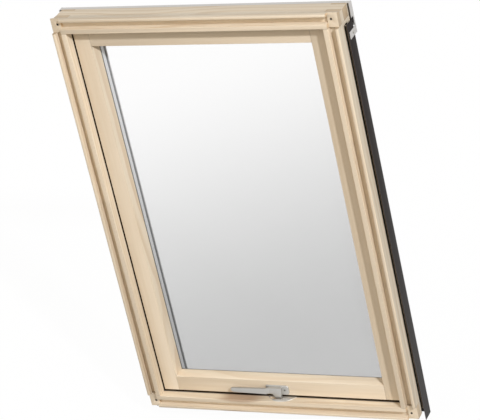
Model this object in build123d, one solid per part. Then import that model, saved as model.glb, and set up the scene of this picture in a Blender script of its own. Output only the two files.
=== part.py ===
from build123d import *
import os

# A centre-pivot pine roof window, closed and latched, in millimetres.
# X runs across the window, +Y out of the roof and +Z up the slope.
# The origin is the middle of the four corner screw holes, on the seats that they are drilled in.
# Depths are measured outwards from the frame's room-side face, and widths inwards from its edge.

# Frame timber
WIDTH = 780.0
HEIGHT = 1180.0
FRAME_DEPTH = 80.0
MEMBER = 39.5
LIP = 8.0
CHANNEL_WIDTH = 19.0
CHANNEL_DEPTH = 19.0
SEAT_DEPTH = 11.0
LIP_ROUND = 4.0
EDGE_ROUND = 1.0
HEAD_SLOPE = ((10.0, 0.0), (30.0, 7.2), (45.0, 8.5))
FINGER_START = 28.0
FINGER_END = 46.0
REAR_FINGER = 7.0
SIDE_GROOVE = (38.0, 60.0)
SIDE_GROOVE_DEPTH = 6.0
SIDE_GROOVE_END = 60.0
SCREW_HOLE_RADIUS = 2.25
SCREW_HOLE_INSET = 17.5
SCREW_HOLE_LENGTH = 30.0

# Sash timber
SASH_GAP = 4.0
SASH_RECESS = 27.5
SASH_FLAT = 44.5
BEVEL = 8.5
LAND = 1.0
SASH_BACK_GAP = 0.5
SASH_ROUND = 2.0

# Glazing
PANE = 4.0
CAVITY = 16.0
GASKET = 1.5
GASKET_WIDTH = 10.0
GLASS_BITE = 12.0
GLASS_DROP = 20.0
SPACER_SET_BACK = 1.5
SPACER_WIDTH = 6.5
SPACER_WALL = 1.0
BLOCK_THICKNESS = 4.0
BLOCK_LENGTH = 80.0
BLOCK_CORNER = 90.0

# Weather covers
SHEET = 1.2
BEND = 2.0
COVER_STANDOFF = 4.5
COVER_RISE = 4.0
COVER_FRONT = 45.0
COVER_TOP = 52.0
COVER_OVERHANG = 27.0
DRIP_HEIGHT = 10.0
DRIP_RETURN = 9.0
HOOD_STANDOFF = 7.0
HOOD_RISE = 13.0
HOOD_HEIGHT = 62.0
HOOD_CLEARANCE = 1.0
HOOD_LEG = 18.0
HOOD_LEG_HEIGHT = 38.0
HOOD_STRIP = 6.0
HOOD_TAB_REACH = 45.0
HOOD_TAB_HEIGHT = 19.0
HOOD_TAB_DROP = 83.5
SASH_COVER_INSET = 3.0
SASH_COVER_RISE = 3.7
COVER_SCREW_RADIUS = 1.75
COVER_SCREW_HEAD = 3.5
COVER_SCREW_HEAD_HEIGHT = 1.6
COVER_SCREW_BITE = 18.0
COVER_SCREW_END = 70.0
SHANK_SIDES = 8
TAB_SCREW_DEPTH = 10.0

# Seal
SEAL_THICKNESS = 7.0
SEAL_SET_BACK = 1.5
SEAL_SIDE_GAP = 0.3
SEAL_END_GAP = 1.3

# Pivot hinges
PIVOT_PLATE_WIDTH = 20.0
PIVOT_PLATE_LENGTH = 110.0
PIVOT_PLATE_THICKNESS = 3.0
PIVOT_PIN_RADIUS = 6.0
PIN_CLEARANCE = 0.05
PIVOT_PIN_REACH = 8.0
PIVOT_WELL_CLEARANCE = 2.0
PIVOT_SCREW_RADIUS = 2.0
PIVOT_SCREW_HEAD = 4.0
PIVOT_SCREW_LENGTH = 20.0
PIVOT_SCREW_OFFSET = 40.0

# Handle, measured from its pivot
HANDLE_X = -5.0
HANDLE_RISE = 17.5
BASE_LEFT = 33.0
BASE_RIGHT = 32.0
BASE_HEIGHT = 29.0
BASE_THICKNESS = 3.0
BASE_ROUND = 8.0
BASE_SMALL_ROUND = 2.0
BASE_BEVEL = 0.6
BASE_SCREWS = (-24.0, 20.0)
BASE_SCREW_RADIUS = 2.0
BASE_SCREW_HEAD = 4.2
BASE_SCREW_LENGTH = 22.0
LEVER_CLEARANCE = 0.3
LEVER_THICKNESS = 8.0
LEVER_LEFT = 22.0
LEVER_RIGHT = 14.0
LEVER_TOP = 10.5
LEVER_BOTTOM = 6.5
LEVER_SHOULDER = 7.0
LEVER_ROUND = 3.0
NOSE_ENGAGEMENT = 6.5
NOSE_LEFT = 3.0
NOSE_RIGHT = 7.5
ARM_REACH = 131.5
ARM_TOP = 9.0
ARM_BOTTOM = 3.3
ARM_THICKNESS = 6.5
ARM_CRANK = 5.0
ARM_CRANK_LENGTH = 8.0
ARM_ROUND = 8.0
SPINDLE_RADIUS = 5.0
SPINDLE_REACH = 9.0
WASHER_RADIUS = 8.5
WASHER_THICKNESS = 2.0
SPINDLE_WELL_CLEARANCE = 1.5

# Keeper on the sill, placed from the handle's pivot
KEEPER_OFFSET = 9.0
KEEPER_HALF_WIDTH = 41.0
KEEPER_SET_BACK = 0.5
KEEPER_BOW = 25.5
KEEPER_THICKNESS = 3.0
KEEPER_PROUD = 1.0
KEEPER_BEVEL = 0.6
SLOT_CLEARANCE = 0.3
SLOT_ENTRY = 5.0
SLOT_LEFT = 28.0
SLOT_FRONT_LEFT = 18.5
SLOT_RIGHT = 11.0
NOSE_WELL = 12.0

# Worked out from the above
HALF_W = WIDTH / 2
HALF_H = HEIGHT / 2
REVEAL_X = HALF_W - MEMBER
REVEAL_Z = HALF_H - MEMBER
HEAD_DROP = HEAD_SLOPE[-1][1]
SASH_X = REVEAL_X - SASH_GAP
SASH_Z = REVEAL_Z - SASH_GAP
SIGHT_X = SASH_X - SASH_FLAT - BEVEL
SIGHT_Z = SASH_Z - SASH_FLAT - BEVEL
SASH_BACK = FRAME_DEPTH - SASH_BACK_GAP
GLASS_BACK = SASH_BACK - GASKET
CAVITY_BACK = GLASS_BACK - PANE
CAVITY_FRONT = CAVITY_BACK - CAVITY
GLASS_FRONT = CAVITY_FRONT - PANE
GASKET_FRONT = GLASS_FRONT - GASKET
BEVEL_BACK = GASKET_FRONT - LAND
REBATE = GLASS_BITE + BLOCK_THICKNESS
SEAL_FRONT = SASH_RECESS + SEAL_SET_BACK
COVER_BACK = FRAME_DEPTH + COVER_RISE
COVER_X = HALF_W + COVER_STANDOFF
COVER_INNER_X = HALF_W - MEMBER
COVER_FOOT = -HALF_H - COVER_OVERHANG
HOOD_X = HALF_W + HOOD_STANDOFF
HOOD_BACK = FRAME_DEPTH + HOOD_RISE
HOOD_TOP = HALF_H - HEAD_DROP
HOOD_FOOT = HOOD_TOP - HOOD_TAB_DROP
PIVOT_DEPTH = (SASH_RECESS + SASH_BACK) / 2
HANDLE_Z = -SASH_Z + HANDLE_RISE
BASE_FRONT = SASH_RECESS - BASE_THICKNESS
LEVER_BACK = BASE_FRONT - LEVER_CLEARANCE
LEVER_FRONT = LEVER_BACK - LEVER_THICKNESS
ARM_FRONT = LEVER_FRONT - ARM_CRANK
NOSE_LENGTH = HANDLE_RISE + SASH_GAP + NOSE_ENGAGEMENT
KEEPER_X = HANDLE_X + KEEPER_OFFSET
KEEPER_BACK = SASH_RECESS - KEEPER_SET_BACK
KEEPER_TOP = -REVEAL_Z + KEEPER_PROUD
CUT = 1.0


def y_at(depth):
    """The Y of a depth measured from the frame's room-side face."""
    return depth - SEAT_DEPTH


def block(xs, depths, zs):
    """A box between two X, two depths and two Z."""
    (x0, x1), (d0, d1), (z0, z1) = xs, depths, zs
    middle = ((x0 + x1) / 2, y_at((d0 + d1) / 2), (z0 + z1) / 2)
    return Pos(*middle) * Box(abs(x1 - x0), abs(d1 - d0), abs(z1 - z0))


def slab(outline, depths):
    """An outline of (x, z) points carried through two depths."""
    face = Plane.XZ.offset(-y_at(depths[0])) * make_face(outline)
    return extrude(face, amount=-(depths[1] - depths[0]))


def across(face, start, end):
    """A face drawn in (Y, Z) carried from one X to another."""
    return extrude(Plane.YZ.offset(start) * face, amount=end - start)


def upward(face, start, end):
    """A face drawn in (X, Y) carried from one Z to another."""
    return extrude(Plane.XY.offset(start) * face, amount=end - start)


def sheet_section(points, side):
    """The section of a folded sheet whose outer face follows a line of points, with rounded bends."""
    return make_face(offset(FilletPolyline(*points, radius=BEND), amount=SHEET, side=side))


def ring(outer, inner, depths):
    """A frame between two rectangles, each given as half width, top and bottom."""
    wide, top, bottom = outer
    body = block((-wide, wide), depths, (-bottom, top))
    wide, top, bottom = inner
    hole = (depths[0] - CUT, depths[1] + CUT)
    return body - block((-wide, wide), hole, (-bottom, top))


def sight(grow=0.0, drop=0.0):
    """The glass sight lines, moved outwards by grow, and the bottom one down by drop as well."""
    return (SIGHT_X + grow, SIGHT_Z + grow, SIGHT_Z + grow + drop)


def outer_sight(grow=0.0):
    """The same for the panes and what lies outside them, which reach lower at the foot."""
    return sight(grow, GLASS_DROP)


def rod_across(depth, z, start, end, radius):
    """A round bar along X."""
    middle = Pos((start + end) / 2, y_at(depth), z)
    return middle * Rot(0, 90, 0) * Cylinder(radius, abs(end - start))


def rod_through(x, z, start, end, radius):
    """A round bar along the depth."""
    middle = Pos(x, y_at((start + end) / 2), z)
    return middle * Rot(90, 0, 0) * Cylinder(radius, abs(end - start))


def bar_across(depth, z, start, end, first, last):
    """A bar along X, tapered from one radius to another, eight-sided because it is hidden."""
    ends = []
    for x, radius in ((start, first), (end, last)):
        ends.append(Plane.YZ * Pos(y_at(depth), z, x) * RegularPolygon(radius, SHANK_SIDES))
    return loft(ends)


def bar_through(x, z, start, end, radius):
    """A straight bar of the same section along the depth."""
    middle = Pos(x, y_at((start + end) / 2), z) * Rot(90, 0, 0)
    return middle * extrude(RegularPolygon(radius, SHANK_SIDES), amount=abs(end - start) / 2, both=True)


def both_sides(shape):
    """A shape and its mirror image across the window's middle."""
    return [shape, mirror(shape, about=Plane.YZ)]


def cut_all(body, tools):
    """A body with each tool taken out of it."""
    for tool in tools:
        body -= tool
    return body


# Fasteners, each made once and cut from what it goes through

def hinge_screws(start, way):
    """The two countersunk screws of the right-hand hinge plate whose face is at X = start."""
    rise = PIVOT_SCREW_HEAD - PIVOT_SCREW_RADIUS
    screws = []
    for z in (-PIVOT_SCREW_OFFSET, PIVOT_SCREW_OFFSET):
        shoulder, tip = start + way * rise, start + way * PIVOT_SCREW_LENGTH
        shank = bar_across(PIVOT_DEPTH, z, shoulder, tip, PIVOT_SCREW_RADIUS, PIVOT_SCREW_RADIUS)
        head = bar_across(PIVOT_DEPTH, z, start, shoulder, PIVOT_SCREW_HEAD, PIVOT_SCREW_RADIUS)
        screws.append(shank + head)
    return screws


def frame_hinge_screws():
    return hinge_screws(REVEAL_X, 1)


def sash_hinge_screws():
    return hinge_screws(SASH_X, -1)


def base_screws():
    """The two countersunk screws of the handle's base."""
    rise = BASE_SCREW_HEAD - BASE_SCREW_RADIUS
    screws = []
    for x in BASE_SCREWS:
        shank = bar_through(HANDLE_X + x, HANDLE_Z, BASE_FRONT + rise, BASE_FRONT + BASE_SCREW_LENGTH,
                            BASE_SCREW_RADIUS)
        place = Pos(HANDLE_X + x, y_at(BASE_FRONT + rise / 2), HANDLE_Z) * Rot(-90, 0, 0)
        screws.append(shank + place * Cone(BASE_SCREW_HEAD, BASE_SCREW_RADIUS, rise))
    return screws


def cover_screws():
    """The pan-head screws of the jamb covers, the sill cover and the hood's tabs."""
    top = HALF_H - COVER_TOP - COVER_SCREW_END
    low = -HALF_H + COVER_SCREW_END
    side_x = HALF_W - MEMBER / 2
    sill_x = SIGHT_X - COVER_SCREW_END
    places = [(side * side_x, z) for side in (-1, 1) for z in (low, (top + low) / 2, top)]
    places += [(x, -HALF_H + MEMBER / 2) for x in (-sill_x, 0, sill_x)]
    screws = []
    for x, z in places:
        shank = bar_through(x, z, FRAME_DEPTH - COVER_SCREW_BITE, COVER_BACK, COVER_SCREW_RADIUS)
        head = rod_through(x, z, COVER_BACK, COVER_BACK + COVER_SCREW_HEAD_HEIGHT, COVER_SCREW_HEAD)
        screws.append(shank + head)
    depth = FRAME_DEPTH - TAB_SCREW_DEPTH
    z = HOOD_FOOT + HOOD_TAB_HEIGHT / 2
    shank = bar_across(depth, z, HALF_W - COVER_SCREW_BITE, HOOD_X, COVER_SCREW_RADIUS, COVER_SCREW_RADIUS)
    head = rod_across(depth, z, HOOD_X, HOOD_X + COVER_SCREW_HEAD_HEIGHT, COVER_SCREW_HEAD)
    return screws + both_sides(shank + head)


# Keeper

def keeper_outline():
    """The half-moon of the keeper as seen down the slope."""
    back, front = y_at(KEEPER_BACK), y_at(KEEPER_BACK - KEEPER_BOW)
    left, right = KEEPER_X - KEEPER_HALF_WIDTH, KEEPER_X + KEEPER_HALF_WIDTH
    chord = Line((right, back), (left, back))
    bow = ThreePointArc((left, back), (KEEPER_X, front), (right, back))
    return make_face([chord, bow])


def keeper_slot():
    """The slot that the lever's nose swings into, as seen down the slope."""
    front, back = y_at(LEVER_FRONT - SLOT_ENTRY), y_at(LEVER_BACK + SLOT_CLEARANCE)
    outline = Polyline((HANDLE_X - SLOT_FRONT_LEFT, front), (HANDLE_X + SLOT_RIGHT, front),
                       (HANDLE_X + SLOT_RIGHT, back), (HANDLE_X - SLOT_LEFT, back), close=True)
    return make_face(outline)


def make_strike_plate():
    """The keeper plate, let into the sill and a little proud of it."""
    plate = upward(keeper_outline(), KEEPER_TOP - KEEPER_THICKNESS, KEEPER_TOP)
    plate = chamfer(plate.faces().sort_by(Axis.Z)[-1].edges(), KEEPER_BEVEL)
    return plate - upward(keeper_slot(), KEEPER_TOP - KEEPER_THICKNESS - CUT, KEEPER_TOP + CUT)


# Frame timber

def head_top():
    """What is planed off the top of the head, so that it falls towards the outside."""
    points = [(y_at(depth), HALF_H - drop) for depth, drop in HEAD_SLOPE]
    points += [(y_at(FRAME_DEPTH + CUT), HOOD_TOP), (y_at(FRAME_DEPTH + CUT), HALF_H + CUT)]
    points.append((points[0][0], HALF_H + CUT))
    return across(make_face(Polyline(*points, close=True)), -HALF_W - CUT, HALF_W + CUT)


def frame_blank():
    """The four frame members as one ring with its lining channels and corner seats."""
    blank = block((-HALF_W, HALF_W), (0, FRAME_DEPTH), (-HALF_H, HALF_H))
    blank = fillet(blank.faces().sort_by(Axis.Y)[0].edges(), LIP_ROUND)
    blank -= block((-REVEAL_X, REVEAL_X), (-CUT, FRAME_DEPTH + CUT), (-REVEAL_Z, REVEAL_Z))
    blank -= head_top()
    depths = (-CUT, CHANNEL_DEPTH)
    inner = LIP + CHANNEL_WIDTH
    seat_x = HALF_W - inner
    for side in (-1, 1):
        blank -= block((-seat_x, seat_x), depths, (side * (HALF_H - inner), side * (HALF_H - LIP)))
        blank -= block((side * seat_x, side * (HALF_W - LIP)), depths, (-REVEAL_Z, REVEAL_Z))
        groove = (side * (HALF_W - SIDE_GROOVE_DEPTH), side * (HALF_W + CUT))
        end = HALF_H - SIDE_GROOVE_END
        blank -= block(groove, SIDE_GROOVE, (-HALF_H - CUT, end))
        blank -= rod_across(sum(SIDE_GROOVE) / 2, end, *groove, (SIDE_GROOVE[1] - SIDE_GROOVE[0]) / 2)
    room_edges = blank.edges().filter_by_position(Axis.Y, y_at(0) - EDGE_ROUND / 2, y_at(0) + EDGE_ROUND / 2)
    blank = fillet(room_edges, EDGE_ROUND)
    for side in (-1, 1):
        for end in (-1, 1):
            blank -= block((side * seat_x, side * (HALF_W + CUT)), (-CUT, SEAT_DEPTH),
                           (end * REVEAL_Z, end * (HALF_H + CUT)))
            blank -= rod_through(side * (HALF_W - SCREW_HOLE_INSET), end * (HALF_H - SCREW_HOLE_INSET),
                                 SEAT_DEPTH - CUT, SEAT_DEPTH + SCREW_HOLE_LENGTH, SCREW_HOLE_RADIUS)
    return blank


def frame_cuts():
    """The pockets and pilot holes for what is fixed to the frame."""
    well = rod_across(PIVOT_DEPTH, 0, REVEAL_X, REVEAL_X + PIVOT_PIN_REACH + PIVOT_WELL_CLEARANCE,
                      PIVOT_PIN_RADIUS + PIVOT_WELL_CLEARANCE)
    cuts = []
    for tool in [hinge_blank(REVEAL_X), well] + frame_hinge_screws():
        cuts += both_sides(tool)
    cuts.append(upward(keeper_outline(), KEEPER_TOP - KEEPER_THICKNESS, KEEPER_TOP + CUT))
    cuts.append(upward(keeper_slot(), -REVEAL_Z - NOSE_WELL, -REVEAL_Z + CUT))
    return cuts + cover_screws()


def make_frame_members():
    """Head, sill and jambs, with two fingers of each jamb let into the head and the sill."""
    blank = cut_all(frame_blank(), frame_cuts())
    deep = (-CUT, FRAME_DEPTH + CUT)
    layers = [(FINGER_START, FINGER_END), (FRAME_DEPTH - REAR_FINGER, FRAME_DEPTH + CUT)]
    fingers = {-1: [], 1: []}
    for side in fingers:
        for end in (-1, 1):
            for layer in layers:
                fingers[side].append(block((side * REVEAL_X, side * (HALF_W + CUT)), layer,
                                           (end * REVEAL_Z, end * (HALF_H + CUT))))
    members = {}
    for name, end in (("frame_sill", -1), ("frame_head", 1)):
        zone = block((-HALF_W - CUT, HALF_W + CUT), deep, (end * REVEAL_Z, end * (HALF_H + CUT)))
        members[name] = blank & cut_all(zone, fingers[-1] + fingers[1])
    for name, side in (("frame_jamb_left", -1), ("frame_jamb_right", 1)):
        zone = block((side * REVEAL_X, side * (HALF_W + CUT)), deep, (-REVEAL_Z, REVEAL_Z))
        for finger in fingers[side]:
            zone += finger
        members[name] = blank & zone
    return members


def make_frame_seal():
    """The rubber strip in the gap round the sash, just clear of the sash's swing."""
    end = SASH_Z + SEAL_END_GAP
    inner = (SASH_X + SEAL_SIDE_GAP, end, end)
    return ring((REVEAL_X, REVEAL_Z, REVEAL_Z), inner, (SEAL_FRONT, SEAL_FRONT + SEAL_THICKNESS))


# Weather covers

def make_hood():
    """The silver hood: a folded sheet behind the head with a leg, strip and tab at each side."""
    low = HOOD_TOP - HOOD_HEIGHT
    back, lip = y_at(HOOD_BACK), y_at(COVER_BACK + HOOD_CLEARANCE)
    points = [(y_at(FRAME_DEPTH), HOOD_TOP), (back, HOOD_TOP), (back, low), (lip, low)]
    hood = across(sheet_section(points, Side.RIGHT), -HOOD_X, HOOD_X)
    strip, tip = back - HOOD_STRIP, back - HOOD_TAB_REACH
    shoulder = HOOD_FOOT + HOOD_TAB_HEIGHT
    leg_front, leg_foot = back - HOOD_LEG, HOOD_TOP - HOOD_LEG_HEIGHT
    outline = Polyline((leg_front, HOOD_TOP), (back, HOOD_TOP), (back, HOOD_FOOT), (tip, HOOD_FOOT),
                       (tip, shoulder), (strip, shoulder), (strip, leg_foot), (leg_front, leg_foot), close=True)
    leg = across(make_face(outline), HOOD_X - SHEET, HOOD_X)
    for side in both_sides(leg):
        hood += side
    return cut_all(hood, cover_screws())


def make_jamb_cover():
    """The dark cover of the right jamb, from below the hood to below the sill."""
    points = [(COVER_X, y_at(COVER_FRONT)), (COVER_X, y_at(COVER_BACK)),
              (COVER_INNER_X, y_at(COVER_BACK)), (COVER_INNER_X, y_at(FRAME_DEPTH))]
    cover = upward(sheet_section(points, Side.LEFT), COVER_FOOT, HALF_H - COVER_TOP)
    return cut_all(cover, cover_screws())


def make_sill_cover():
    """The dark cover of the sill, with its apron and drip edge."""
    half = COVER_INNER_X - SHEET
    back = y_at(COVER_BACK)
    points = [(y_at(FRAME_DEPTH), -REVEAL_Z), (back, -REVEAL_Z), (back, COVER_FOOT + DRIP_HEIGHT),
              (back - DRIP_RETURN, COVER_FOOT)]
    return cut_all(across(sheet_section(points, Side.RIGHT), -half, half), cover_screws())


# Pivot hinges

def hinge_blank(start):
    """A right-hand hinge plate that starts at X = start."""
    half_width, half_length = PIVOT_PLATE_WIDTH / 2, PIVOT_PLATE_LENGTH / 2
    return block((start, start + PIVOT_PLATE_THICKNESS),
                 (PIVOT_DEPTH - half_width, PIVOT_DEPTH + half_width), (-half_length, half_length))


def make_frame_plate():
    """The frame's hinge plate, with the bearing hole that the sash's pin turns in."""
    hole = rod_across(PIVOT_DEPTH, 0, REVEAL_X - CUT, REVEAL_X + PIVOT_PLATE_THICKNESS + CUT,
                      PIVOT_PIN_RADIUS + PIN_CLEARANCE)
    return cut_all(hinge_blank(REVEAL_X), [hole] + frame_hinge_screws())


def make_sash_plate():
    """The sash's hinge plate with its pin."""
    plate = cut_all(hinge_blank(SASH_X - PIVOT_PLATE_THICKNESS), sash_hinge_screws())
    return plate + rod_across(PIVOT_DEPTH, 0, SASH_X - CUT, REVEAL_X + PIVOT_PIN_REACH, PIVOT_PIN_RADIUS)


# Sash

def sash_blank():
    """The four sash members as one ring with its bevel and glazing rebate."""
    blank = block((-SASH_X, SASH_X), (SASH_RECESS, SASH_BACK), (-SASH_Z, SASH_Z))
    blank = fillet(blank.faces().sort_by(Axis.Y)[0].edges(), SASH_ROUND)
    rims = []
    for depth, grow in ((SASH_RECESS, BEVEL), (BEVEL_BACK, 0.0)):
        rim = Rectangle(2 * (SIGHT_X + grow), 2 * (SIGHT_Z + grow))
        rims.append(Plane.XZ.offset(-y_at(depth)) * rim)
    blank -= loft(rims)
    wide, top, bottom = sight()
    blank -= block((-wide, wide), (SASH_RECESS, SASH_BACK + CUT), (-bottom, top))
    wide, top, bottom = outer_sight(REBATE)
    return blank - block((-wide, wide), (GASKET_FRONT, SASH_BACK + CUT), (-bottom, top))


def sash_cuts():
    """The pockets and pilot holes for what is fixed to the sash."""
    cuts = []
    for tool in [hinge_blank(SASH_X - PIVOT_PLATE_THICKNESS)] + sash_hinge_screws():
        cuts += both_sides(tool)
    well = rod_through(HANDLE_X, HANDLE_Z, SASH_RECESS - CUT,
                       SASH_RECESS + SPINDLE_REACH + SPINDLE_WELL_CLEARANCE,
                       WASHER_RADIUS + SPINDLE_WELL_CLEARANCE)
    return cuts + base_screws() + [well]


def make_sash_members():
    """Stiles run through, rails butt between them, and the bevels meet on mitres."""
    blank = cut_all(sash_blank(), sash_cuts())
    joint, rail_joint = SASH_X - SASH_FLAT, SASH_Z - SASH_FLAT
    far_x, far_z = SASH_X + CUT, SASH_Z + CUT
    stile = [(far_x, -far_z), (far_x, far_z), (joint, far_z), (joint, rail_joint), (SIGHT_X, SIGHT_Z),
             (SIGHT_X, -SIGHT_Z), (joint, -rail_joint), (joint, -far_z)]
    deep = (SASH_RECESS - CUT, SASH_BACK + CUT)
    members = {}
    for name, side in (("sash_stile_left", -1), ("sash_stile_right", 1)):
        outline = Polyline(*[(side * x, z) for x, z in stile], close=True)
        members[name] = blank & slab(outline, deep)
    rail = [(-joint, far_z), (joint, far_z), (joint, rail_joint), (SIGHT_X, SIGHT_Z), (-SIGHT_X, SIGHT_Z),
            (-joint, rail_joint)]
    for name, end in (("sash_top_rail", 1), ("sash_bottom_rail", -1)):
        outline = Polyline(*[(x, end * z) for x, z in rail], close=True)
        members[name] = blank & slab(outline, deep)
    return members


def make_setting_blocks():
    """Small blocks between the edge of the glass and the rebate."""
    wide, top, bottom = outer_sight(GLASS_BITE)
    depths = (GLASS_FRONT, GLASS_BACK)
    blocks = []
    for side in (-1, 1):
        inner = side * (wide - BLOCK_CORNER)
        outer = side * (wide - BLOCK_CORNER - BLOCK_LENGTH)
        blocks.append(block((outer, inner), depths, (-bottom - BLOCK_THICKNESS, -bottom)))
        blocks.append(block((outer, inner), depths, (top, top + BLOCK_THICKNESS)))
        for end in (top - BLOCK_CORNER, -bottom + BLOCK_CORNER + BLOCK_LENGTH):
            edge = (side * wide, side * (wide + BLOCK_THICKNESS))
            blocks.append(block(edge, depths, (end - BLOCK_LENGTH, end)))
    return Compound(children=blocks)


def make_glazing():
    """The panes, the spacer between them, its sealant and the strips on both sides."""
    wide, top, bottom = outer_sight(GLASS_BITE)
    spacer_in, spacer_out = outer_sight(SPACER_SET_BACK), outer_sight(SPACER_SET_BACK + SPACER_WIDTH)
    spacer = ring(spacer_out, spacer_in, (CAVITY_FRONT, CAVITY_BACK))
    hollow = (CAVITY_FRONT + SPACER_WALL, CAVITY_BACK - SPACER_WALL)
    spacer -= ring(outer_sight(SPACER_SET_BACK + SPACER_WIDTH + CUT),
                   outer_sight(SPACER_SET_BACK + SPACER_WALL), hollow)
    return {
        "glass_inner": block((-wide, wide), (GLASS_FRONT, CAVITY_FRONT), (-bottom, top)),
        "glass_outer": block((-wide, wide), (CAVITY_BACK, GLASS_BACK), (-bottom, top)),
        "spacer_bar": spacer,
        "edge_seal": ring(outer_sight(GLASS_BITE), spacer_out, (CAVITY_FRONT, CAVITY_BACK)),
        "gasket_inner": ring(sight(GASKET_WIDTH), sight(), (GASKET_FRONT, GLASS_FRONT)),
        "gasket_outer": ring(outer_sight(GASKET_WIDTH), outer_sight(), (GLASS_BACK, SASH_BACK)),
        "setting_blocks": make_setting_blocks(),
    }


def make_sash_covers():
    """Four glazing covers: the side ones run through and the others butt between them."""
    outer_x, outer_z = SASH_X - SASH_COVER_INSET, SASH_Z - SASH_COVER_INSET
    back = SASH_BACK + SASH_COVER_RISE
    shell = ring((outer_x, outer_z, outer_z), outer_sight(), (SASH_BACK, back))
    hollow = (outer_x - SHEET, outer_z - SHEET, outer_z - SHEET)
    shell -= ring(hollow, outer_sight(SHEET), (SASH_BACK - CUT, back - SHEET))
    deep = (SASH_BACK - CUT, back + CUT)
    covers = {}
    for name, side in (("sash_cover_left", -1), ("sash_cover_right", 1)):
        covers[name] = shell & block((side * SIGHT_X, side * SASH_X), deep, (-SASH_Z, SASH_Z))
    for name, end in (("sash_cover_bottom", -SASH_Z), ("sash_cover_top", SASH_Z)):
        covers[name] = shell & block((-SIGHT_X, SIGHT_X), deep, (0, end))
    return covers


# Handle

def make_handle_base():
    """The plate on the bottom rail that carries the lever's spindle."""
    half = BASE_HEIGHT / 2
    left, right = HANDLE_X - BASE_LEFT, HANDLE_X + BASE_RIGHT
    rounds = [BASE_SMALL_ROUND, BASE_ROUND, BASE_ROUND, BASE_SMALL_ROUND]
    outline = FilletPolyline((left, HANDLE_Z - half), (right, HANDLE_Z - half), (right, HANDLE_Z + half),
                             (left, HANDLE_Z + half), radius=rounds, close=True)
    plate = slab(outline, (BASE_FRONT, SASH_RECESS))
    plate = chamfer(plate.faces().sort_by(Axis.Y)[0].edges(), BASE_BEVEL)
    bearing = rod_through(HANDLE_X, HANDLE_Z, BASE_FRONT - CUT, SASH_RECESS + CUT,
                          SPINDLE_RADIUS + PIN_CLEARANCE)
    return cut_all(plate, [bearing] + base_screws())


def lever_point(x, z):
    """A point of the lever, measured from its pivot."""
    return (HANDLE_X + x, HANDLE_Z + z)


def make_lever_block():
    """The flat block on the spindle with the nose that swings into the keeper."""
    points = [(-LEVER_LEFT, -LEVER_BOTTOM), (-LEVER_LEFT + LEVER_SHOULDER, -LEVER_BOTTOM),
              (-NOSE_LEFT, -NOSE_LENGTH), (NOSE_RIGHT, -NOSE_LENGTH),
              (LEVER_RIGHT, LEVER_TOP - 2 * LEVER_ROUND), (LEVER_RIGHT, LEVER_TOP), (-LEVER_LEFT, LEVER_TOP)]
    rounds = [0, LEVER_ROUND, LEVER_ROUND / 2, LEVER_ROUND / 2, LEVER_ROUND / 2, LEVER_ROUND, 0]
    outline = FilletPolyline(*[lever_point(*point) for point in points], radius=rounds, close=True)
    return slab(outline, (LEVER_FRONT, LEVER_BACK))


def make_handle_lever():
    """The cranked lever: the block, and an arm that steps towards the room and tapers to its tip."""
    root = -LEVER_LEFT + ARM_CRANK
    points = [(root, -LEVER_BOTTOM), (root, LEVER_TOP), (-ARM_REACH, ARM_TOP), (-ARM_REACH, -ARM_BOTTOM)]
    outline = FilletPolyline(*[lever_point(*point) for point in points],
                             radius=[0, 0, LEVER_ROUND, ARM_ROUND], close=True)
    arm = slab(outline, (ARM_FRONT, LEVER_BACK))
    back = ARM_FRONT + ARM_THICKNESS
    tip = -ARM_REACH - CUT
    side_view = Polyline((root, LEVER_FRONT), (root, LEVER_BACK), (-LEVER_LEFT - CUT, LEVER_BACK),
                         (-LEVER_LEFT - ARM_CRANK_LENGTH, back), (tip, back), (tip, ARM_FRONT),
                         (-LEVER_LEFT - ARM_CRANK_LENGTH, ARM_FRONT), (-LEVER_LEFT, LEVER_FRONT), close=True)
    side_view = Pos(HANDLE_X, -SEAT_DEPTH) * make_face(side_view)
    return make_lever_block() + (arm & upward(side_view, HANDLE_Z - ARM_REACH, HANDLE_Z + ARM_REACH))


def make_handle_spindle():
    """The lever's spindle with the washer that holds it behind the base."""
    seat = SASH_RECESS + LEVER_CLEARANCE
    pin = rod_through(HANDLE_X, HANDLE_Z, LEVER_BACK, SASH_RECESS + SPINDLE_REACH, SPINDLE_RADIUS)
    return pin + rod_through(HANDLE_X, HANDLE_Z, seat, seat + WASHER_THICKNESS, WASHER_RADIUS)


def make_pairs():
    """The pieces that come in a right and a left hand."""
    pairs = {}
    for name, shape in (("jamb_cover", make_jamb_cover()), ("pivot_plate", make_frame_plate()),
                        ("sash_pivot", make_sash_plate())):
        pairs[f"{name}_right"], pairs[f"{name}_left"] = both_sides(shape)
    for name, screws in (("pivot_plate_screws", frame_hinge_screws()),
                         ("sash_pivot_screws", sash_hinge_screws())):
        pairs[name] = Compound(children=[side for screw in screws for side in both_sides(screw)])
    return pairs


parts = {**make_frame_members(), **make_sash_members(), **make_glazing(), **make_sash_covers(), **make_pairs()}
parts["frame_seal"] = make_frame_seal()
parts["head_hood"] = make_hood()
parts["sill_cover"] = make_sill_cover()
parts["cover_screws"] = Compound(children=cover_screws())
parts["strike_plate"] = make_strike_plate()
parts["handle_base"] = make_handle_base()
parts["handle_base_screws"] = Compound(children=base_screws())
parts["handle_lever"] = make_handle_lever()
parts["handle_spindle"] = make_handle_spindle()

os.makedirs("parts", exist_ok=True)
for node, shape in parts.items():
    export_step(shape, f"parts/{node}.step")
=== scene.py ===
import math
from collections import namedtuple

import bmesh
import bpy
from mathutils import Matrix, Vector


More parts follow.
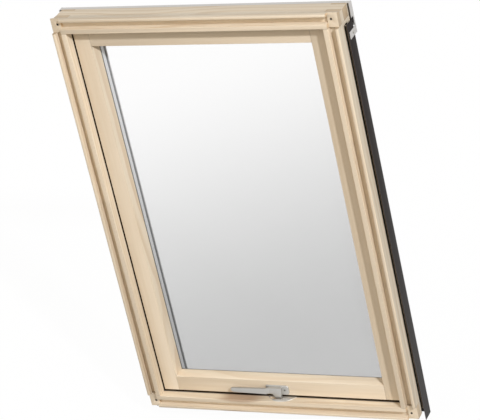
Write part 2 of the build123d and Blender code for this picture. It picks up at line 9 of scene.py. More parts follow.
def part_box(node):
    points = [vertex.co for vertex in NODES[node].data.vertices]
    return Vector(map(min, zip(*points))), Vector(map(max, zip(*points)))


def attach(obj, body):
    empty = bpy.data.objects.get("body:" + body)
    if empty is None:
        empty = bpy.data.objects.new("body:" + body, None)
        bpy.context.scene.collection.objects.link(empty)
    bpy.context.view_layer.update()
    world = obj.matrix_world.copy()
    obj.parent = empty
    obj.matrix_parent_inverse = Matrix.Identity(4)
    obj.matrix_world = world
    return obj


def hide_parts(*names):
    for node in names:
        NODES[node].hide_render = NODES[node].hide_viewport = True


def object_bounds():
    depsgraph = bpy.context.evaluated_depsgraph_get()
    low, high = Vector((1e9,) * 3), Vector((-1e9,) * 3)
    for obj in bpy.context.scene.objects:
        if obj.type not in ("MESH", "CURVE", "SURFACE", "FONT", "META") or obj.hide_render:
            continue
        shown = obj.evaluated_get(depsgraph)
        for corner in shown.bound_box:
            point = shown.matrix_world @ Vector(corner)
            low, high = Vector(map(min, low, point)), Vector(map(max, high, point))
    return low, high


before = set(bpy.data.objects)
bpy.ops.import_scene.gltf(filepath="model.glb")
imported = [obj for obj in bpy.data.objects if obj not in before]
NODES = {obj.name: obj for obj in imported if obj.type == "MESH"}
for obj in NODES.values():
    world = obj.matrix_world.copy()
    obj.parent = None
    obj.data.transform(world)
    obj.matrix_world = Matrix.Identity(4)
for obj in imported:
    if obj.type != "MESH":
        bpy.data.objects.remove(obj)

CAD_BOX = [list(corner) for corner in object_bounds()]
MM = 0.001
WHITE = (1.0, 1.0, 1.0, 1.0)

# The photograph's camera, fitted to the frame's edges
CAMERA_PLACE = (2.6061, -4.8457, 2.9284)
CAMERA_RIGHT = (0.90865, 0.36588, -0.2012)
CAMERA_UP = (-0.01334, 0.50707, 0.8618)
LENS = 182.32
SENSOR_WIDTH = 36.0
CAMERA_REACH = (0.1, 200.0)

# The key light stands where the head's and the jamb's shadows on the sash point to
KEY_DIRECTION = (0.628, -0.524, 0.576)
KEY_STRENGTH = 2.3
KEY_ANGLE = 3.5
KEY_COLOUR = (0.97, 1.0, 1.08)

# Two soft lights for the faces and shadows that the key leaves dark
FRONT_DIRECTION = (-0.35, -0.75, 0.56)
FRONT_STRENGTH = 0.6
RIGHT_DIRECTION = (0.95, -0.28, 0.1)
RIGHT_STRENGTH = 0.9
SOFT_ANGLE = 45.0
SOFT_COLOUR = (1.0, 0.98, 0.96)

# The world's own light, and the floor
FILL_LEVEL = 0.5
FILL_COLOUR = (1.0, 0.905, 0.795, 1.0)
FLOOR_DROP = 0.02
FLOOR_SIZE = 60.0
FLOOR_SHADOW = 0.03
FLOOR_PALE = (0.95, 0.95, 0.95, 1.0)
FLOOR_GREY = (0.2, 0.18, 0.15, 1.0)


def srgb(red, green, blue):
    """A colour given as it shows on screen, from 0 to 255, made linear."""
    def linear(value):
        value /= 255
        return value / 12.92 if value <= 0.04045 else ((value + 0.055) / 1.055) ** 2.4
    return (linear(red), linear(green), linear(blue), 1.0)


# Shader maths

class Channel:
    """One output of a node; arithmetic on it adds Math nodes."""

    def __init__(self, sheet, socket):
        self.sheet = sheet
        self.socket = socket

    def __add__(self, other):
        return self.sheet.math("ADD", self, other)

    def __radd__(self, other):
        return self.sheet.math("ADD", other, self)

    def __sub__(self, other):
        return self.sheet.math("SUBTRACT", self, other)

    def __rsub__(self, other):
        return self.sheet.math("SUBTRACT", other, self)

    def __mul__(self, other):
        return self.sheet.math("MULTIPLY", self, other)

    def __rmul__(self, other):
        return self.sheet.math("MULTIPLY", other, self)

    def __truediv__(self, other):
        return self.sheet.math("DIVIDE", self, other)

    def __abs__(self):
        return self.sheet.math("ABSOLUTE", self)


class Sheet:
    """The node tree of one material, or of the world."""

    def __init__(self, owner, output_kind):
        self.owner = owner
        owner.use_nodes = True
        self.tree = owner.node_tree
        self.tree.nodes.clear()
        self.output = self.tree.nodes.new(output_kind)

    @classmethod
    def of_material(cls, name):
        return cls(bpy.data.materials.new(name), "ShaderNodeOutputMaterial")

    def node(self, kind, inputs=None, settings=None):
        """The outputs of a node with its settings, then its sockets' values or links."""
        node = self.tree.nodes.new(kind)
        for key, value in (settings or {}).items():
            setattr(node, key, value)
        for key, value in (inputs or {}).items():
            if isinstance(value, Channel):
                self.tree.links.new(value.socket, node.inputs[key])
            else:
                node.inputs[key].default_value = value
        return node.outputs

    def add(self, kind, inputs=None, settings=None, output=0):
        """One output of such a node, to calculate with."""
        return Channel(self, self.node(kind, inputs, settings)[output])

    def math(self, operation, *values):
        return self.add("ShaderNodeMath", dict(enumerate(values)), {"operation": operation})

    def larger(self, first, second):
        return self.math("MAXIMUM", first, second)

    def smaller(self, first, second):
        return self.math("MINIMUM", first, second)

    def step(self, value, low, high):
        """0 below low and 1 above high, with a smooth rise between them."""
        return self.add("ShaderNodeMapRange", {"Value": value, "From Min": low, "From Max": high},
                        {"interpolation_type": "SMOOTHSTEP"})

    def under(self, value, low, high):
        """1 below low and 0 above high, with a smooth fall between them."""
        return 1.0 - self.step(value, low, high)

    def split(self, vector):
        return [Channel(self, socket) for socket in self.node("ShaderNodeSeparateXYZ", {0: vector})]

    def join(self, x, y, z=0.0):
        return self.add("ShaderNodeCombineXYZ", {0: x, 1: y, 2: z})

    def length(self, x, y):
        """How far a point is from nought in two directions."""
        return self.add("ShaderNodeVectorMath", {0: self.join(x, y)}, {"operation": "LENGTH"},
                        output="Value")

    def position(self):
        return self.add("ShaderNodeTexCoord", output="Object")

    def axes(self):
        return self.split(self.position())

    def facing(self):
        """The way that the flat faces point, as three numbers."""
        return self.split(self.add("ShaderNodeNewGeometry", output="True Normal"))

    def noise(self, vector, scale=1.0, detail=2.0, roughness=0.5):
        return self.add("ShaderNodeTexNoise", {"Vector": vector, "Scale": scale, "Detail": detail,
                                               "Roughness": roughness})

    def blend(self, share, first, second, mode="MIX"):
        """Two colours mixed."""
        return self.add("ShaderNodeMix", {0: share, 6: first, 7: second},
                        {"data_type": "RGBA", "blend_type": mode}, output=2)

    def shaded(self, colour, shade):
        """A colour made lighter or darker by a number."""
        tone = self.add("ShaderNodeCombineColor", {0: shade, 1: shade, 2: shade})
        return self.blend(1.0, colour, tone, "MULTIPLY")

    def bump(self, height, distance, strength):
        return self.add("ShaderNodeBump", {"Height": height, "Distance": distance,
                                           "Strength": strength})

    def seen_plainly(self):
        """1 for what the camera sees itself, in a gloss or through glass, and 0 for other light."""
        path = self.node("ShaderNodeLightPath")
        camera, gloss, through = (Channel(self, path[name]) for name in (
            "Is Camera Ray", "Is Glossy Ray", "Is Transmission Ray"))
        return self.larger(self.larger(camera, gloss), through)

    def surface(self, **inputs):
        """The Principled shader; names are written with _ for a space."""
        named = {key.replace("_", " "): value for key, value in inputs.items()}
        return self.add("ShaderNodeBsdfPrincipled", named)

    def finish(self, shader):
        self.tree.links.new(shader.socket, self.output.inputs["Surface"])
        return self.owner


def more(amounts, pattern):
    """A least amount, and how much more there is where the pattern is strongest."""
    least, added = amounts
    return least + added * pattern


# Pine

PINE_PALE = srgb(233, 219, 196)
PINE_WARM = srgb(223, 204, 174)
PINE_LATE = srgb(198, 167, 127)
PINE_END = srgb(199, 171, 133)
PINE_RESIN = srgb(142, 98, 62)
# The next two are painted shade: a shadow on the outer side by the side groove, and a tint that darkens
# the frame's outer sides and top.
PINE_SHADOW = srgb(40, 28, 16)
OUTER_SHADE_TINT = (0.79, 0.81, 0.83, 1.0)
PINE_SHEEN = 0.45
PINE_BUMP = (0.25 * MM, 0.5)
FIBRE_HEIGHT = 0.5
STREAK_HEIGHT = 0.3
RING_HEIGHT = 0.3

# The growth rings to a metre, where the pith lies and how far it drifts, and how much of a ring is
# late wood. A board's seed turns its pith and shifts its drift.
RINGS = 330.0
RING_WAVER = 0.9
PITH_ASIDE = 55.0 * MM
PITH_DEPTH = (75.0 * MM, 30.0 * MM)
PITH_TURN = (2.4, 1.7)
PITH_DRIFT = (20.0 * MM, 16.0 * MM)
DRIFT_PACE = (1.3, 1.1)
DRIFT_ROW = (0.7, 3.1)
LATE_START = (0.3, 0.86)
LATE_STOP = (0.88, 0.99)

# How fine the patterns are along and across a board
WAVER_FINENESS = (5.0, 30.0)
STREAK_FINENESS = (2.2, 75.0)
FIBRE_FINENESS = (14.0, 620.0)
CLOUD_FINENESS = (1.7, 9.0)

# Where a pattern's soft edge starts and ends
WARM_STREAK = (0.3, 0.74)
LATE_CLOUD = (0.35, 0.7)
RESIN_EDGE = (0.35, 1.0)
RESIN_RAGGED = 1.1
END_FACING = (0.8, 0.95)
SKY_FACING = (0.4, 0.6)

# How much there is at least, and how much a pattern adds
WARM_SHARE = (0.2, 0.4)
LATE_SHARE = (0.16, 0.32)
PINE_SHADE = (0.95, 0.06)
PINE_ROUGHNESS = (0.4, 0.12)
FIBRE_SHADE = 0.11
RESIN_SHARE = 0.55
END_SHARE = 0.75

# Marks that lie at one place on the frame or sash. A pair is where a soft edge starts and ends.
FINGER_WIDTH = 2.1 * MM
FINGER_SLOPE = 2.4
FINGER_BLUR = 0.2 * MM
SEAM_EDGE = (0.3 * MM, 0.7 * MM)
SEAM_BLUR = 0.1 * MM
HOLE_PLACE = (372.5 * MM, 572.5 * MM)
HOLE_EDGE = (3.1 * MM, 3.286 * MM)
GROOVE_FRONT = (27.1 * MM, 27.4 * MM)
GROOVE_BACK = (48.6 * MM, 48.9 * MM)
GROOVE_FLOOR = (383.6 * MM, 383.8 * MM)
GROOVE_BRIM = (389.5 * MM, 389.95 * MM)
GROOVE_END = (540.2 * MM, 540.6 * MM)
BRINK_FRONT = (24.9 * MM, 25.7 * MM)
BRINK_BACK = (48.9 * MM, 49.9 * MM)
OUTER_SIDE = (389.4 * MM, 389.7 * MM)
OUTER_TOP = (575.0 * MM, 576.0 * MM)
REVEAL_SIDE = (350.6 * MM, 350.8 * MM)
REVEAL_END = (550.6 * MM, 550.8 * MM)
GAP_BLUR = 2.5 * MM

# How much of its light a mark loses. The seams are dark joints; the rest are painted shade in the holes,
# in the groove, by its brink and in the gap beside the sash.
SEAM_DARK = 0.38
HOLE_SHADE = 0.9
GROOVE_SHADE = 0.94
BRINK_SHADE = 0.8
GAP_SHADE = 0.85

# along is the way of the grain. joints are the places of finger joints along it, and tones are how
# light the lengths before, between and after them are. streaks are brown resin streaks, each a place,
# how far aside it lies and its size. gap_from is where painted shade starts on a frame member's
# reveal beside the sash.
Board = namedtuple("Board", "along seed joints tones streaks gap_from", defaults=((), None))


def grain(sheet, spot, fineness, shift=(0.0, 0.0), detail=2.0, roughness=0.5):
    """Noise drawn out along the grain; a spot is a place along, across and into the board."""
    length, across, y = spot
    slow, fine = fineness
    return sheet.noise(sheet.join(length * slow + shift[0], across * fine + shift[1], y * fine),
                       detail=detail, roughness=roughness)


def growth_rings(sheet, spot, seed):
    """The dark late wood of the rings round a pith that lies beside the board."""
    length, across, y = spot
    drift = sheet.noise(sheet.join(length * DRIFT_PACE[0] + seed, seed * DRIFT_ROW[0]), detail=1.0)
    drift_deep = sheet.noise(sheet.join(length * DRIFT_PACE[1] - seed, DRIFT_ROW[1], seed), detail=1.0)
    pith_across = math.sin(seed * PITH_TURN[0]) * PITH_ASIDE
    pith_deep = PITH_DEPTH[0] + PITH_DEPTH[1] * math.cos(seed * PITH_TURN[1])
    radius = sheet.length(across - pith_across + (drift - 0.5) * PITH_DRIFT[0],
                          y + pith_deep + (drift_deep - 0.5) * PITH_DRIFT[1])
    waver = grain(sheet, spot, WAVER_FINENESS)
    ring = sheet.math("FRACT", radius * RINGS + waver * RING_WAVER)
    return sheet.step(ring, *LATE_START) * sheet.under(ring, *LATE_STOP)


def finger_joints(sheet, shade, board, length, across):
    """The shade changes a little at each zigzag finger joint."""
    for place, (before, after) in zip(board.joints, zip(board.tones, board.tones[1:])):
        zigzag = sheet.math("PINGPONG", across, FINGER_WIDTH) * FINGER_SLOPE
        edge = sheet.step(length + zigzag, place - FINGER_BLUR, place + FINGER_BLUR)
        shade = shade * (1.0 + (after / before - 1.0) * edge)
    return shade


def seam_lines(sheet, shade, seams, wide, y, high):
    """Thin dark lines where members meet; each seam has an axis, a place and where it starts."""
    distances = {"x": wide, "y": y, "z": high}
    for axis, place, from_x, from_z in seams:
        line = sheet.under(abs(distances[axis] - place), *SEAM_EDGE)
        for distance, start in ((wide, from_x), (high, from_z)):
            line = line * sheet.step(distance, start - SEAM_BLUR, start + SEAM_BLUR)
        shade = shade * (1.0 - SEAM_DARK * line)
    return shade


def painted_shade_places(sheet, shade, gap_from, wide, y, high, z):
    """Painted shade in the screw holes, in the side groove and on the reveals in the gap beside the
    sash.
    """
    hole = sheet.under(sheet.length(wide - HOLE_PLACE[0], high - HOLE_PLACE[1]), *HOLE_EDGE)
    shade = shade * (1.0 - HOLE_SHADE * hole)
    groove = sheet.step(y, *GROOVE_FRONT) * sheet.under(y, *GROOVE_BACK)
    groove = groove * sheet.step(wide, *GROOVE_FLOOR) * sheet.under(wide, *GROOVE_BRIM)
    shade = shade * (1.0 - GROOVE_SHADE * groove * sheet.under(z, *GROOVE_END))
    if gap_from is not None:
        gap = sheet.under(wide, *REVEAL_SIDE) * sheet.under(high, *REVEAL_END)
        shade = shade * (1.0 - GAP_SHADE * gap * sheet.step(y, gap_from, gap_from + GAP_BLUR))
    return shade


def outer_faces(sheet, colour, wide, y, z, upward):
    """Painted shade: the frame's outer sides and top are tinted darker, and a painted shadow lies on the
    outer side by the side groove's brink.
    """
    outer = sheet.step(wide, *OUTER_SIDE)
    brink = sheet.step(y, *BRINK_FRONT) * sheet.under(y, *BRINK_BACK) * sheet.under(z, *GROOVE_END)
    colour = sheet.blend(outer * brink * BRINK_SHADE, colour, PINE_SHADOW)
    top = sheet.step(z, *OUTER_TOP) * sheet.step(upward, *SKY_FACING)
    outer_shade = sheet.blend(1.0, colour, OUTER_SHADE_TINT, "MULTIPLY")
    return sheet.blend(sheet.larger(outer, top), colour, outer_shade)


def pine(name, board, seams):
    """Pale lacquered pine, with the marks of one member of the frame or sash."""
    sheet = Sheet.of_material(name)
    x, y, z = sheet.axes()
    wide, high = abs(x), abs(z)
    length, across = (x, z) if board.along == "x" else (z, x)
    spot = (length, across, y)
    late = growth_rings(sheet, spot, board.seed)
    streak = grain(sheet, spot, STREAK_FINENESS, (board.seed, 0.0), 3.0, 0.6)
    fibre = grain(sheet, spot, FIBRE_FINENESS)
    cloud = grain(sheet, spot, CLOUD_FINENESS, (0.0, board.seed))
    colour = sheet.blend(more(WARM_SHARE, sheet.step(streak, *WARM_STREAK)), PINE_PALE, PINE_WARM)
    late_share = late * more(LATE_SHARE, sheet.step(cloud, *LATE_CLOUD))
    colour = sheet.blend(late_share, colour, PINE_LATE)
    for place, aside, reach, width in board.streaks:
        spread = sheet.length((length - place) / reach, (across - aside) / width)
        resin = sheet.under(spread + (streak - 0.5) * RESIN_RAGGED, *RESIN_EDGE)
        colour = sheet.blend(resin * RESIN_SHARE, colour, PINE_RESIN)
    shade = more(PINE_SHADE, cloud) + (fibre - 0.5) * FIBRE_SHADE
    shade = finger_joints(sheet, shade, board, length, across)
    shade = seam_lines(sheet, shade, seams, wide, y, high)
    shade = painted_shade_places(sheet, shade * board.tones[0], board.gap_from, wide, y, high, z)
    facing_x, _, facing_z = sheet.facing()
    end = sheet.step(abs(facing_x if board.along == "x" else facing_z), *END_FACING)
    colour = sheet.shaded(sheet.blend(end * END_SHARE, colour, PINE_END), shade)
    colour = outer_faces(sheet, colour, wide, y, z, facing_z)
    height = fibre * FIBRE_HEIGHT + late * RING_HEIGHT + streak * STREAK_HEIGHT
    return sheet.finish(sheet.surface(
        Base_Color=colour, Roughness=more(PINE_ROUGHNESS, fibre), Specular_IOR_Level=PINE_SHEEN,
        Normal=sheet.bump(height, *PINE_BUMP)))


# Metal, rubber and glass

COVER_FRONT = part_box("jamb_cover_right")[0].y
# Where the covers' front edge gets a painted highlight
HIGHLIGHT_EDGE = (COVER_FRONT + 1.2 * MM, COVER_FRONT + 1.8 * MM)
CUT_EDGE_SIDE = (294.5 * MM, 295.0 * MM)
CUT_EDGE_END = (514.5 * MM, 515.0 * MM)
CUT_FACING = (0.5, 0.8)
ROLL_FINENESS = 900.0
ROLL_CLOUDS = 7.0
ROLL_ROUGHNESS = 0.04
ROLL_BUMP = (0.06 * MM, 0.35)

BRUSHED_METAL = 0.8
BRUSHED_SHADE = (0.93, 0.07)
BRUSHED_CLOUDS = 25.0
CLOUD_ROUGHNESS = 0.05
BRUSH_FINENESS = (30.0, 1500.0)
BRUSH_SHADE = 0.07
BRUSH_ROUGHNESS = 0.12
BRUSH_BUMP = (0.03 * MM, 0.3)
DRIVE_REACH = (2.34 * MM, 2.6 * MM)
DRIVE_WIDTH = (0.81 * MM, 0.9 * MM)
DRIVE_SHADE = 0.9

MOTTLE_FINENESS = 160.0
MOTTLE_SHADE = (0.85, 0.3)
MOTTLE_BUMP = (0.1 * MM, 0.3)

SEALANT_EDGE = (1.44 * MM, 1.6 * MM)
UPRIGHT_FACING = (0.4, 0.6)
PUNCH_STEP = 4.0 * MM
PUNCH_EDGE = (0.385 * MM, 0.55 * MM)
PUNCH_SHADE = 0.8
SPACER_FINENESS = (60.0, 1400.0)
SPACER_METAL = 0.15
SPACER_ROUGHNESS = (0.42, 0.1)
SPACER_BRIGHT = srgb(236, 238, 239)
SPACER_DARK = srgb(160, 162, 164)

# Each face of a pane has painted shade at its foot, a painted reflection of a darker ground. That fades
# over its height, in lines that lean, and a little gloss is added at a low angle.
GLASS_SHADE = 0.15
GLASS_FADE = (0.03, 1.0)
GLASS_LEAN = 0.34
GLASS_GLOSS = 0.15
GLOSS_BEND = 1.3
GLASS_BEND = 1.45
GLASS_ROUGHNESS = (0.03, 0.02)
SMEAR_FINENESS = 3.0
SMEAR_SHARE = 0.1
SMEAR_GREY = srgb(120, 124, 124)

# How far a broad pattern takes a surface's roughness to each side of its own
ROUGHNESS_SWING = 0.05


def swung(roughness, pattern):
    """A roughness that a broad pattern takes a little down and up."""
    return more((roughness - ROUGHNESS_SWING, 2 * ROUGHNESS_SWING), pattern)


def sheet_metal(name, colour, metallic, roughness, wear=0.06, sheen=0.3, edge_highlight=0.0, cut_edge=None):
    """Painted or plain folded sheet with a fine rolled texture.

    sheen is its specular level, rubbed is how much lighter a painted highlight makes its front edge, and
    cut_edge is the colour of the bare edge round the glass.
    """
    sheet = Sheet.of_material(name)
    place = sheet.position()
    x, y, z = sheet.split(place)
    fine = sheet.noise(place, ROLL_FINENESS)
    broad = sheet.noise(place, ROLL_CLOUDS, 3.0)
    shade = more((1.0 - wear, 2 * wear), broad)
    # A painted highlight along the front edge
    if edge_highlight:
        shade = shade * (1.0 + edge_highlight * sheet.under(y, *HIGHLIGHT_EDGE))
    if cut_edge:
        inner = sheet.under(abs(sheet.facing()[1]), *CUT_FACING)
        inner = inner * sheet.under(abs(x), *CUT_EDGE_SIDE) * sheet.under(abs(z), *CUT_EDGE_END)
        colour = sheet.blend(inner, colour, cut_edge)
    return sheet.finish(sheet.surface(
        Base_Color=sheet.shaded(colour, shade), Metallic=metallic,
        Roughness=swung(roughness, broad) + ROLL_ROUGHNESS * fine, Specular_IOR_Level=sheen,
        Normal=sheet.bump(fine, *ROLL_BUMP)))


def brushed(name, colour, roughness, drives=()):
    """Satin metal with brush lines along X; drives are the places of screws' cross recesses, which get
    painted shade.
    """
    sheet = Sheet.of_material(name)
    place = sheet.position()
    x, y, z = sheet.split(place)
    slow, fine = BRUSH_FINENESS
    lines = sheet.noise(sheet.join(x * slow, y * fine, z * fine))
    broad = sheet.noise(place, BRUSHED_CLOUDS)
    shade = more(BRUSHED_SHADE, broad) + BRUSH_SHADE * lines
    # Painted shade in each screw's cross recess
    for drive_x, drive_z in drives:
        aside, upward = abs(x - drive_x), abs(z - drive_z)
        recess = sheet.under(sheet.larger(aside, upward), *DRIVE_REACH)
        recess = recess * sheet.under(sheet.smaller(aside, upward), *DRIVE_WIDTH)
        shade = shade * (1.0 - DRIVE_SHADE * recess)
    return sheet.finish(sheet.surface(
        Base_Color=sheet.shaded(colour, shade), Metallic=BRUSHED_METAL,
        Roughness=roughness + BRUSH_ROUGHNESS * lines + CLOUD_ROUGHNESS * broad,
        Normal=sheet.bump(lines, *BRUSH_BUMP)))


def moulded(name, colour, roughness, sheen=0.25):
    """Rubber, sealant or plastic with a faint mottle; sheen is its specular level."""
    sheet = Sheet.of_material(name)
    mottle = sheet.noise(sheet.position(), MOTTLE_FINENESS, 3.0)
    return sheet.finish(sheet.surface(
        Base_Color=sheet.shaded(colour, more(MOTTLE_SHADE, mottle)), Roughness=swung(roughness, mottle),
        Specular_IOR_Level=sheen, Normal=sheet.bump(mottle, *MOTTLE_BUMP)))


def spacer_metal(name):
    """Bright spacer bar with a sealant line beside each pane and a row of punched holes in painted
    shade.
    """
    sheet = Sheet.of_material(name)
    x, y, z = sheet.axes()
    low, high = (corner.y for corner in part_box("spacer_bar"))
    sealant = sheet.under(sheet.smaller(y - low, high - y), *SEALANT_EDGE)
    upright = sheet.step(abs(sheet.facing()[0]), *UPRIGHT_FACING)
    run = z * upright + x * (1.0 - upright)
    # The punched holes are painted shade; the sealant lines are the sealant's own dark colour
    near = abs(sheet.math("PINGPONG", run, PUNCH_STEP / 2) - PUNCH_STEP / 4)
    punch = sheet.under(sheet.length(near, y - (low + high) / 2), *PUNCH_EDGE)
    dark = sheet.larger(sealant, punch * PUNCH_SHADE)
    slow, fine = SPACER_FINENESS
    rolled = sheet.noise(sheet.join(x * slow, y * fine, z * slow))
    return sheet.finish(sheet.surface(
        Base_Color=sheet.blend(dark, SPACER_BRIGHT, SPACER_DARK), Metallic=SPACER_METAL * (1.0 - dark),
        Roughness=more(SPACER_ROUGHNESS, rolled), Normal=sheet.bump(rolled, *BRUSH_BUMP)))


def window_glass(name, painted_ground):
    """A clear pane with painted shade towards its foot, a painted reflection of a darker ground."""
    sheet = Sheet.of_material(name)
    place = sheet.position()
    x, _, z = sheet.split(place)
    low, high = (corner.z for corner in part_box("glass_inner"))
    rise = (z - x * GLASS_LEAN - low) / (high - low)
    painted_shade = GLASS_SHADE * sheet.under(rise, *GLASS_FADE)
    gloss = GLASS_GLOSS * sheet.add("ShaderNodeFresnel", {"IOR": GLOSS_BEND})
    smear = sheet.noise(place, SMEAR_FINENESS)
    return sheet.finish(sheet.surface(
        Base_Color=sheet.blend(smear * SMEAR_SHARE, painted_ground, SMEAR_GREY),
        Roughness=more(GLASS_ROUGHNESS, smear), IOR=GLASS_BEND,
        Alpha=sheet.add("ShaderNodeClamp", {0: painted_shade + gloss})))


# Pieces

MERGE_GAP = 0.02 * MM
FLAT_ANGLE = 1.0
SHARP_ANGLE = 28


def dress(material, *names):
    """The material goes on each CAD node."""
    for name in names:
        slots = NODES[name].data.materials
        slots.clear()
        slots.append(material)


def soften(name, body, material, width, segments=2):
    """A copy of a CAD node with its sharp edges rounded, shown in the node's place."""
    mesh = NODES[name].data.copy()
    mesh.name = name + "_eased"
    piece = bpy.data.objects.new(name + "_eased", mesh)
    bpy.context.scene.collection.objects.link(piece)
    shape = bmesh.new()
    shape.from_mesh(mesh)
    bmesh.ops.remove_doubles(shape, verts=shape.verts, dist=MERGE_GAP)
    bmesh.ops.dissolve_limit(shape, angle_limit=math.radians(FLAT_ANGLE), verts=shape.verts,
                             edges=shape.edges)
    for face in shape.faces:
        face.smooth = True
    shape.to_mesh(mesh)
    shape.free()
    mesh.materials.clear()
    mesh.materials.append(material)
    bevel = piece.modifiers.new("eased edges", "BEVEL")
    bevel.width = width
    bevel.segments = segments
    bevel.limit_method = "ANGLE"
    bevel.angle_limit = math.radians(SHARP_ANGLE)
    bevel.harden_normals = True
    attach(piece, body)
    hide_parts(name)


# Timber

TIMBER_EASE = 0.6 * MM
# Where the painted shade on the reveals beside the sash starts
GAP_START = 15.5 * MM
SILL_GAP_START = 12.5 * MM
SILL_STREAKS = ((-0.115, -0.5505, 0.075, 0.012), (-0.135, -0.588, 0.06, 0.005))
FRAME_TIMBER = {
    "frame_head": Board("x", 1.3, (-0.11,), (0.985, 1.0), gap_from=GAP_START),
    "frame_sill": Board("x", 2.9, (0.19,), (1.0, 0.97), SILL_STREAKS, SILL_GAP_START),
    "frame_jamb_left": Board("z", 4.1, (-0.31, 0.063), (0.97, 0.95, 1.0), gap_from=GAP_START),
    "frame_jamb_right": Board("z", 5.7, (-0.22, 0.24), (1.0, 0.975, 0.99), gap_from=GAP_START),
}
# The stiles' first tones carry painted light and shade: the right stile is painted lighter and the left
# stile darker.
SASH_TIMBER = {
    "sash_top_rail": Board("x", 6.2, (0.14,), (1.0, 0.985)),
    "sash_bottom_rail": Board("x", 7.8, (-0.2,), (1.0, 0.99)),
    "sash_stile_left": Board("z", 8.6, (0.21,), (0.93, 0.92)),
    "sash_stile_right": Board("z", 9.9, (-0.12,), (1.06, 1.075)),
}
FRAME_SEAMS = (("z", 0.5505, 0.3505, 0.0), ("y", 0.017, 0.3505, 0.5505),
               ("y", 0.035, 0.3505, 0.5505), ("y", 0.062, 0.3505, 0.5505))
SASH_SEAMS = (("x", 0.302, 0.0, 0.493),)
for timber, body, seams in ((FRAME_TIMBER, "frame", FRAME_SEAMS), (SASH_TIMBER, "sash", SASH_SEAMS)):
    for node, board in timber.items():
        soften(node, body, pine(node + "_pine", board, seams), TIMBER_EASE)

# Glazing

# The panes' painted shade shows this grey
dress(window_glass("clear_glass", srgb(84, 88, 88)), "glass_inner", "glass_outer")
dress(moulded("dark_rubber", srgb(74, 70, 64), 0.6), "gasket_inner")
dress(moulded("grey_rubber", srgb(188, 189, 189), 0.6), "gasket_outer")
dress(moulded("brown_seal", srgb(34, 22, 12), 0.9, 0.02), "frame_seal")
dress(moulded("edge_sealant", srgb(26, 25, 25), 0.7), "edge_seal")
dress(moulded("block_plastic", srgb(58, 57, 56), 0.5), "setting_blocks")
dress(spacer_metal("spacer_aluminium"), "spacer_bar")

# Covers and hood

COVER_EASE = 0.35 * MM
COVER_COLOUR = srgb(42, 38, 37)
cover_paint = sheet_metal("dark_cover_paint", COVER_COLOUR, 0.0, 0.5, sheen=0.1, edge_highlight=2.2)
sash_paint = sheet_metal("sash_cover_paint", COVER_COLOUR, 0.0, 0.5, sheen=0.1,
                         cut_edge=srgb(226, 227, 227))
hood_metal = sheet_metal("hood_aluminium", srgb(196, 194, 191), 0.55, 0.38, wear=0.03)
for node in ("jamb_cover_left", "jamb_cover_right", "sill_cover"):
    soften(node, "frame", cover_paint, COVER_EASE)
for side in ("top", "bottom", "left", "right"):
    soften("sash_cover_" + side, "sash", sash_paint, COVER_EASE)
soften("head_hood", "frame", hood_metal, COVER_EASE)

# Handle, keeper, hinges and screws

LEVER_EASE = 0.8 * MM
PLATE_EASE = 0.3 * MM
handle_metal = brushed("handle_satin", srgb(188, 186, 181), 0.3)
keeper_metal = brushed("keeper_satin", srgb(206, 203, 197), 0.25)
screw_metal = brushed("zinc_screw", srgb(170, 168, 160), 0.32)
screws_low, screws_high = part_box("handle_base_screws")
screw_radius = (screws_high.z - screws_low.z) / 2
screws_z = (screws_high.z + screws_low.z) / 2
base_screw = brushed("handle_screw", srgb(176, 174, 168), 0.32,
                     ((screws_low.x + screw_radius, screws_z), (screws_high.x - screw_radius, screws_z)))
soften("handle_lever", "handle", handle_metal, LEVER_EASE, 3)
soften("handle_base", "sash", handle_metal, PLATE_EASE)
soften("strike_plate", "frame", keeper_metal, PLATE_EASE)
dress(base_screw, "handle_base_screws")
dress(screw_metal, "cover_screws", "pivot_plate_screws", "sash_pivot_screws", "pivot_plate_left",
      "pivot_plate_right", "sash_pivot_left", "sash_pivot_right", "handle_spindle")


# Floor, light and camera

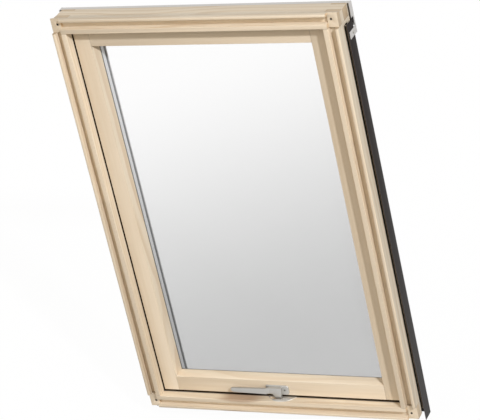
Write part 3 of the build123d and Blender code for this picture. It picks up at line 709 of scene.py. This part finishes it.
def make_floor():
    """A pale floor that keeps a soft shadow of the window."""
    sheet = Sheet.of_material("pale_floor")
    seen = sheet.seen_plainly()
    lit = sheet.surface(Base_Color=sheet.blend(seen, FLOOR_GREY, FLOOR_PALE), Roughness=0.9,
                        Specular_IOR_Level=0.1)
    glow = sheet.add("ShaderNodeEmission", {"Color": WHITE, "Strength": 1.0})
    material = sheet.finish(sheet.add("ShaderNodeMixShader", {0: seen * (1.0 - FLOOR_SHADOW),
                                                              1: lit, 2: glow}))
    shape = bmesh.new()
    bmesh.ops.create_grid(shape, x_segments=1, y_segments=1, size=FLOOR_SIZE)
    bmesh.ops.translate(shape, verts=shape.verts, vec=(0.0, 0.0, CAD_BOX[0][2] - FLOOR_DROP))
    mesh = bpy.data.meshes.new("floor")
    shape.to_mesh(mesh)
    shape.free()
    mesh.materials.append(material)
    floor = bpy.data.objects.new("floor", mesh)
    bpy.context.scene.collection.objects.link(floor)


def make_world():
    """A plain soft light from all sides, and a white background."""
    world = bpy.data.worlds.new("studio")
    bpy.context.scene.world = world
    sheet = Sheet(world, "ShaderNodeOutputWorld")
    seen = sheet.seen_plainly()
    level = sheet.add("ShaderNodeMapRange", {"Value": seen, "To Min": FILL_LEVEL, "To Max": 1.0})
    sheet.finish(sheet.add("ShaderNodeBackground", {"Color": sheet.blend(seen, FILL_COLOUR, WHITE),
                                                    "Strength": level}))


def make_light(name, direction, strength, angle, colour):
    """A far light that shines from one direction."""
    lamp = bpy.data.lights.new(name, "SUN")
    lamp.energy = strength
    lamp.angle = math.radians(angle)
    lamp.color = colour
    light = bpy.data.objects.new(name, lamp)
    light.rotation_mode = "QUATERNION"
    light.rotation_quaternion = Vector(direction).to_track_quat("Z", "Y")
    bpy.context.scene.collection.objects.link(light)


def make_camera():
    """The photograph's viewpoint and long lens."""
    lens = bpy.data.cameras.new("camera")
    lens.lens = LENS
    lens.sensor_width = SENSOR_WIDTH
    lens.clip_start, lens.clip_end = CAMERA_REACH
    right, up = Vector(CAMERA_RIGHT).normalized(), Vector(CAMERA_UP)
    back = right.cross(up).normalized()
    up = back.cross(right)
    turn = Matrix((right, up, back)).transposed().to_4x4()
    camera = bpy.data.objects.new("camera", lens)
    camera.matrix_world = Matrix.Translation(CAMERA_PLACE) @ turn
    bpy.context.scene.collection.objects.link(camera)
    bpy.context.scene.camera = camera


make_floor()
make_world()
make_light("key", KEY_DIRECTION, KEY_STRENGTH, KEY_ANGLE, KEY_COLOUR)
make_light("front_light", FRONT_DIRECTION, FRONT_STRENGTH, SOFT_ANGLE, SOFT_COLOUR)
make_light("right_light", RIGHT_DIRECTION, RIGHT_STRENGTH, SOFT_ANGLE, SOFT_COLOUR)
make_camera()
bpy.context.scene.view_settings.view_transform = "Standard"
